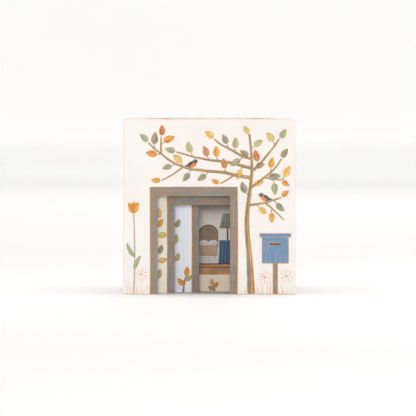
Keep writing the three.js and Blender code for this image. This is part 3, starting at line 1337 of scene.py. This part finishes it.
def climbing_walls(faces, reach, top):
    """Climbing stems on the side walls and the back of a box, and a wreath on its lid."""
    limits = (-reach, reach, 1.0, top)
    count = max(2, round(reach / 14))
    for side in ("right", "back", "left"):
        face = faces[side]
        for index in range(count):
            across = -reach + 2 * reach * (index + 0.5) / count
            face.vine((across, 4.0), math.pi / 2, top, limits)
    wreath(faces["top"], reach * 0.62, (-reach, reach, -reach, reach))


# --- Box 1: a garden with a tree


def paint_box_1(faces, reach, top):
    """The front with the doorway and the tree, and the garden running round the other sides."""
    front = faces["front"]
    opening = openings[1]
    edge = reach - 3.0
    limits = (-edge, edge, 14.0, top - 2.0)
    frame_left, frame_right = opening[0] - POST_WIDTH, opening[1] + POST_WIDTH
    tree_x = frame_right + reach * 0.16
    box_bottom = top * 0.18
    box_height = top * 0.15
    box_width = reach * 0.3
    box_top = box_bottom + box_height
    box_centre = (tree_x + edge) / 2 + 3.0
    letter_area = (box_centre - box_width * 0.7, box_centre + box_width * 0.7, 0.0, box_top + 6.0)
    keep_out = [framed_area(opening), letter_area]

    timber_frame(front, opening)
    low_left = opening[3] + LINTEL_HEIGHT + 10.0
    boughs = tree(front, tree_x, box_top + 14.0, 8, limits, low_left, keep_out)
    long_boughs = sorted((path for path in boughs[1:] if len(path) > 4), key=lambda path: path[-1][0])
    for path, facing in ((long_boughs[0], 1), (long_boughs[-1], -1)):
        place = perch_on(front, path)
        before, perch = path[place - 1], path[place]
        slope = math.atan((perch[1] - before[1]) / (perch[0] - before[0]))
        songbird(front, perch[0], perch[1] + 0.8, 5.2, slope * 0.7, facing)
    leafy_crown(front, boughs, limits, keep_out)
    letter_box(front, box_centre, box_bottom, box_width, box_height)
    flower_x = frame_left * 0.3 - edge * 0.7
    tall_flower(front, flower_x, opening[3] * 0.85)
    front.grass(-edge, flower_x - 1.5, 11.0, 4)
    meadow(front, flower_x + 2.0, frame_left - 2.5, 1)
    front.grass(frame_right + 2.0, tree_x - 3.5, 10.0, 3)
    meadow(front, tree_x + 3.5, box_centre - 2.5, 1)
    meadow(front, box_centre + 2.5, edge, 1)

    for side, places in (("right", (-0.4, 0.55)), ("back", (0.1, -0.7)), ("left", (0.4, -0.55))):
        face = faces[side]
        meadow(face, -edge, edge, 4)
        tall, short = [share * reach for share in places]
        middle = (tall + short) / 2
        for foot_x, crown_top in ((tall, top - 3.0), (short, top * 0.62)):
            left, right = (-edge, middle) if foot_x < middle else (middle, edge)
            area = (left, right, 22.0, crown_top)
            boughs = tree(face, foot_x, crown_top * 0.36, 8, area, crown_top * 0.45)
            leafy_crown(face, boughs, area)
    wreath(faces["top"], reach * 0.62, (-edge, edge, -edge, edge))


# --- Boxes 2 to 4: the doorways and the window further in


def paint_box_2(faces, reach, top):
    """A cream wall with leaves beside the second doorway."""
    front = faces["front"]
    timber_frame(front, openings[2])
    creeper(front, openings[1][0] - 1.5, openings[1][3] - 4.0)
    fill_front(front, openings[2], reach, top, growing_left=True)
    climbing_walls(faces, reach - 3.0, top - 3.0)


def paint_box_3(faces, reach, top):
    """A pale blue wall with a few leaves and a sapling beside the third doorway."""
    front = faces["front"]
    timber_frame(front, openings[3])
    between = (openings[2][0] + openings[3][0] - POST_WIDTH) / 2
    sapling(front, between, height=14.0, lean=0.15, leaf_length=7.5)
    creeper(front, openings[2][0] - 2.0, openings[2][3] - 4.0)
    fill_front(front, openings[3], reach, top, growing_left=True)
    climbing_walls(faces, reach - 3.0, top - 3.0)


def paint_box_4(faces, reach, top):
    """A warm wall with a window and a small shoot under it."""
    front = faces["front"]
    timber_frame(front, openings[4])
    between = (openings[3][0] + openings[1][1]) / 2
    sapling(front, between, height=5.5, lean=-0.2, leaf_length=5.5)
    fill_front(front, openings[4], reach, top, growing_left=False)
    climbing_walls(faces, reach - 3.0, top - 3.0)


def fill_front(front, opening, reach, top, growing_left):
    """Plants over the part of an inner front wall that the box outside it hides."""
    keep_out = [framed_area(opening)]
    frame_left, frame_right, _, free_bottom = keep_out[0]
    edge = reach - 3.0
    limits = (-edge, edge, 3.0, top - 3.0)
    vine_top = limits[3]
    if limits[3] - free_bottom > GARLAND_ROOM:
        middle = (free_bottom + limits[3]) / 2
        front.vine((-edge + 12.0, middle), 0.0, 2 * edge - 24.0, limits, keep_out)
        vine_top = middle - 8.0
    gaps = [(frame_right, edge)] if growing_left else [(-edge, frame_left), (frame_right, edge)]
    for left, right in gaps:
        if right - left > VINE_ROOM:
            area = (left, right, 3.0, vine_top)
            front.vine(((left + right) / 2, 4.0), math.pi / 2, vine_top, area, keep_out)
        else:
            meadow(front, left + 1.0, right, 1)


# --- Box 5: a plain room, seen through the window


def paint_box_5(faces, reach, top):
    """A room with a bed, and a lamp on a covered table; scattered leaves on the other sides."""
    front = faces["front"]
    side = reach - 1.0
    floor_top = openings[4][2] + 2.0
    floor_foot = floor_top - 7.0
    rectangle(front, -side, side, floor_top, top - 1.5, WASH, "room_wall")
    rectangle(front, -side, side, floor_foot, floor_top, WASH, "floor_ochre")
    # A painted shade line along the back of the floor, where it meets the wall.
    rectangle(front, -side, side, floor_top - 0.9, floor_top, OUTLINE, "floor_dark")
    boards = ["floor_ochre", "floor_ochre", "floor_dark"]
    front.streaks(-side, side, floor_foot, floor_top - 1.0, boards, 24, upright=False)
    bed(front, openings[3][0] + 7.5, floor_top)
    covered_table(front, openings[1][1] - 3.0, floor_top)
    for name in ("right", "back", "left", "top"):
        scatter_leaves(faces[name], reach, 0.0 if name == "top" else top / 2)


def scatter_leaves(face, reach, middle):
    """Loose leaves over a whole face, where there is room."""
    width = 2 * reach - 8.0
    area = (-reach + 2.0, reach - 2.0, middle - reach + 2.0, middle + reach - 2.0)
    for _ in range(60):
        x = (face.random.random() - 0.5) * width
        z = middle + (face.random.random() - 0.5) * width
        tip = away_from((x, z), 7.0, math.tau * face.random.random())
        if face.has_room((x, z), tip, area, ()):
            face.leaf((x, z), tip, face.random.choice(LEAF_PAINTS))


def bed(face, centre, floor):
    """A bed from its foot: an arched head board, two pillows and a stitched cover over a white sheet."""
    half = 7.5
    left = centre - half
    right = centre + half
    arch_foot = floor + 25.0
    arch_height = 6.5
    arch = oval(centre, arch_foot, half, arch_height, count=40)[:21]
    face.patch([(left, floor + 3.0), (right, floor + 3.0)] + arch, STREAK, "quilt_dark", smooth=False)
    planks = 6
    for plank in range(1, planks):
        x = left + 2 * half * plank / planks
        top = arch_foot + 6.0 * math.sqrt(1.0 - ((x - centre) / half) ** 2)
        line = [(x, floor + 12.0), (x + 0.1, top - 6.0), (x, top)]
        face.stroke(line, 0.5, 0.4, OUTLINE, "timber_tan")
    rim = [(left, floor + 14.0)] + list(reversed(arch)) + [(right, floor + 14.0)]
    face.stroke(rim, 1.0, 1.0, OUTLINE, "rail_dark")
    for side in (-1, 1):
        face.patch(oval(centre + side * 3.6, floor + 16.5, 3.8, 2.8, side * 0.12), FILL, "sheet")
        crease = [(centre + side * 2.0, floor + 15.4), (centre + side * 5.8, floor + 15.8)]
        face.stroke(crease, 0.4, 0.25, INK, "sheet_shadow")
    sheet = [
        (left - 0.6, floor + 1.0),
        (centre, floor + 0.6),
        (right + 0.6, floor + 1.0),
        (right - 0.4, floor + 9.0),
        (left + 0.4, floor + 9.0),
    ]
    face.patch(sheet, FILL, "sheet", smooth=False)
    for fold in range(5):
        x = centre - 6.0 + fold * 3.0
        face.stroke([(x, floor + 6.5), (x + 0.3, floor + 1.4)], 0.3, 0.5, INK, "sheet_shadow")
    stitched_cover(face, left, right, floor + 6.5, floor + 15.0)


def stitched_cover(face, left, right, bottom, top):
    """A bed cover with rows of small stitches in four colours."""
    cover = [(left, bottom), (right, bottom), (right - 0.8, top), (left + 0.8, top)]
    face.patch(cover, DETAIL, "quilt", smooth=False)
    threads = ["orange", "timber_grey", "orange_deep", "timber_blue"]
    for row in range(4):
        for column in range(7):
            x = left + 1.0 + column * 2.0
            z = bottom + 0.9 + row * 2.0
            thread = threads[(row + column) % len(threads)]
            face.stroke([(x, z), (x + 0.6, z + 0.8), (x + 1.3, z + 0.1)], 0.45, 0.3, INK, thread)
    face.stroke([(left, bottom), (right, bottom)], 0.6, 0.6, INK, "ochre_line")


def covered_table(face, centre, floor):
    """A round table under a blue cloth, with a shaded lamp on it."""
    top = floor + 18.0
    cloth = [(centre - 5.5, top), (centre - 6.2, floor), (centre + 8.0, floor), (centre + 7.5, top)]
    face.patch(cloth, FILL, "cloth_blue", smooth=False)
    for fold in range(5):
        x = centre - 5.0 + fold * 2.6
        line = [(x, top - 1.0), (x - 0.5, (floor + top) / 2), (x - 1.0, floor + 0.6)]
        face.stroke(line, 0.5, 0.8, INK, "cloth_light")
    rectangle(face, centre - 6.2, centre + 8.2, top, top + 1.2, DETAIL, "cloth_light")
    rectangle(face, centre + 0.6, centre + 1.8, top + 1.2, top + 12.0, DETAIL, "bird_dark")
    lampshade(face, centre, top + 11.0)


def lampshade(face, centre, bottom):
    """A pleated shade that widens downwards."""
    top = bottom + 12.0
    outline = [(centre - 5.5, bottom), (centre + 8.0, bottom), (centre + 5.0, top), (centre - 2.5, top)]
    face.patch(outline, FILL, "lampshade", smooth=False)
    for pleat in range(5):
        low = (centre - 4.0 + pleat * 2.6, bottom + 0.5)
        high = (centre - 1.6 + pleat * 1.5, top - 0.5)
        face.stroke([low, high], 0.5, 0.35, INK, "lampshade_light")
    face.stroke([(centre - 5.5, bottom), (centre + 8.0, bottom)], 0.7, 0.7, INK, "ochre_line")


# --- The set


def paper_lap(number, paper):
    """The glued overlap of the wrap, down the back near one edge."""
    name = f"box_{number}"
    _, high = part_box(f"{name}_wrap_paper")
    left = high[0] - (LAP_INSET + LAP_WIDTH) * MM
    right = high[0] - LAP_INSET * MM
    bottom = LAP_FOOT * MM
    top = high[2] - LAP_HEAD * MM
    corner = LAP_CORNER * MM
    outer = high[1] - (PAPER_SETBACK - LAP_HALF_THICKNESS) * MM
    inner = high[1] - (PAPER_SETBACK + LAP_HALF_THICKNESS) * MM
    work = bmesh.new()
    outline = [(left, bottom), (right, bottom), (right, top), (left + corner, top), (left, top - corner)]
    rings = [[work.verts.new((x, y, z)) for x, z in outline] for y in (outer, inner)]
    work.faces.new(rings[0])
    work.faces.new(list(reversed(rings[1])))
    join_rings(work, *rings)
    bmesh.ops.recalc_face_normals(work, faces=work.faces)
    mesh = mesh_from(work, f"{name}_wrap_lap")
    mesh.materials.append(paper)
    place_object(f"{name}_wrap_lap", mesh, name)


# Screen colours, 0 to 255, of the papers and of the tint along their edges, from box_1 to box_5.
WRAP_COLOURS = [(229, 224, 220), (238, 233, 220), (238, 242, 250), (246, 230, 212), (190, 144, 100)]
EDGE_COLOURS = [(244, 212, 196), (206, 196, 172), (206, 208, 216), (214, 186, 156), (150, 112, 80)]
LINING_COLOUR = (240, 234, 222)
LINING_EDGE_COLOUR = (214, 204, 186)
PAINTERS = [paint_box_1, paint_box_2, paint_box_3, paint_box_4, paint_box_5]

board_material = greyboard()
tape_material = kraft_tape()

for box_number in range(1, BOX_COUNT + 1):
    box_name = f"box_{box_number}"
    box_low, box_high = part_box(f"{box_name}_wrap_paper")
    wrap_material = printed_paper(
        f"{box_name}_paper",
        linear(*WRAP_COLOURS[box_number - 1]),
        box_low,
        box_high,
        linear(*EDGE_COLOURS[box_number - 1]),
    )
    lining_material = printed_paper(
        f"{box_name}_lining_paper", linear(*LINING_COLOUR), box_low, box_high, linear(*LINING_EDGE_COLOUR)
    )
    make_papers(box_number, wrap_material, lining_material)
    make_boards(box_number, board_material)
    make_tapes(box_number, tape_material)
    paper_lap(box_number, wrap_material)
    box_faces = faces_of(box_number)
    half_width, box_height = half_size(box_number)
    PAINTERS[box_number - 1](box_faces, half_width, box_height)
    rim_shade(box_faces["front"], half_width, openings[box_number])
    for drawn in box_faces.values():
        drawn.build(box_name, f"{box_name}_wrap")


# --- Studio


def studio_floor():
    """White paper in a round bowl, so that there is a plain background from every side."""
    work = bmesh.new()
    profile = [(radius, 0.0) for radius in FLOOR_RINGS]
    for index in range(CURVE_STEPS + 1):
        angle = math.pi / 2 * index / CURVE_STEPS
        profile.append((FLOOR_RADIUS + WALL_CURVE * math.sin(angle), WALL_CURVE * (1 - math.cos(angle))))
    profile.append((FLOOR_RADIUS + WALL_CURVE, WALL_TOP))
    turns = [math.tau * index / BOWL_SEGMENTS for index in range(BOWL_SEGMENTS)]
    middle = work.verts.new((0, 0, 0))
    rings = []
    for radius, z in profile:
        circle = [away_from(MIDDLE, radius, turn) for turn in turns]
        rings.append([work.verts.new((*place, z)) for place in circle])
    for index in range(BOWL_SEGMENTS):
        after = (index + 1) % BOWL_SEGMENTS
        work.faces.new((middle, rings[0][index], rings[0][after]))
        for inner, outer in zip(rings, rings[1:]):
            work.faces.new((inner[index], outer[index], outer[after], inner[after]))
    mesh = mesh_from(work, "studio_paper")
    for polygon in mesh.polygons:
        polygon.use_smooth = True
    mesh.materials.append(seamless_floor())
    return add_object("studio_paper", mesh)


def area_light(name, location, target, size, power, colour):
    """A soft box that points at a place."""
    data = bpy.data.lights.new(name, "AREA")
    data.shape = "RECTANGLE"
    data.size, data.size_y = size
    data.energy = power
    data.color = colour
    light = add_object(name, data)
    light.location = location
    light.visible_camera = False
    direction = Vector(target) - Vector(location)
    light.rotation_euler = direction.to_track_quat("-Z", "Y").to_euler()


studio_floor()

WARM_WHITE = (1.0, 0.985, 0.965)
OBJECT_MIDDLE = (0, 0, 0.07)

# Name, place, target, width and height, power in watts, and colour.
area_light("key", (-0.2, -4.7, 0.72), OBJECT_MIDDLE, (0.9, 0.7), 73, (1.0, 0.99, 0.975))
area_light("left", (-2.7, -0.7, 1.3), OBJECT_MIDDLE, (1.2, 1.2), 13, WARM_WHITE)
area_light("right", (2.7, -0.7, 1.1), OBJECT_MIDDLE, (1.2, 1.2), 13, (1.0, 0.975, 0.95))
area_light("behind", (0.6, 3.0, 1.6), OBJECT_MIDDLE, (1.6, 1.2), 10, STUDIO_WHITE)
area_light("overhead", (0.0, 0.1, 2.6), (0, 0.1, 0), (3.4, 3.0), 68, STUDIO_WHITE)

world = bpy.data.worlds.new("studio")
world.use_nodes = True
background = world.node_tree.nodes["Background"]
background.inputs["Color"].default_value = (*STUDIO_WHITE, 1.0)
background.inputs["Strength"].default_value = 0.12
bpy.context.scene.world = world
bpy.context.scene.view_settings.view_transform = "Standard"

# A long lens from far in front, a little above the object, looking this many degrees down.
CAMERA_PLACE = (-1.1 * MM, -4.24, 0.183)
CAMERA_DIP = 1.55
camera_data = bpy.data.cameras.new("camera")
camera_data.sensor_width = 36.0
camera_data.lens = 445.4
camera_data.clip_end = 50.0
camera = add_object("camera", camera_data)
camera.location = CAMERA_PLACE
camera.rotation_euler = (math.radians(90 - CAMERA_DIP), 0, 0)
bpy.context.scene.camera = camera
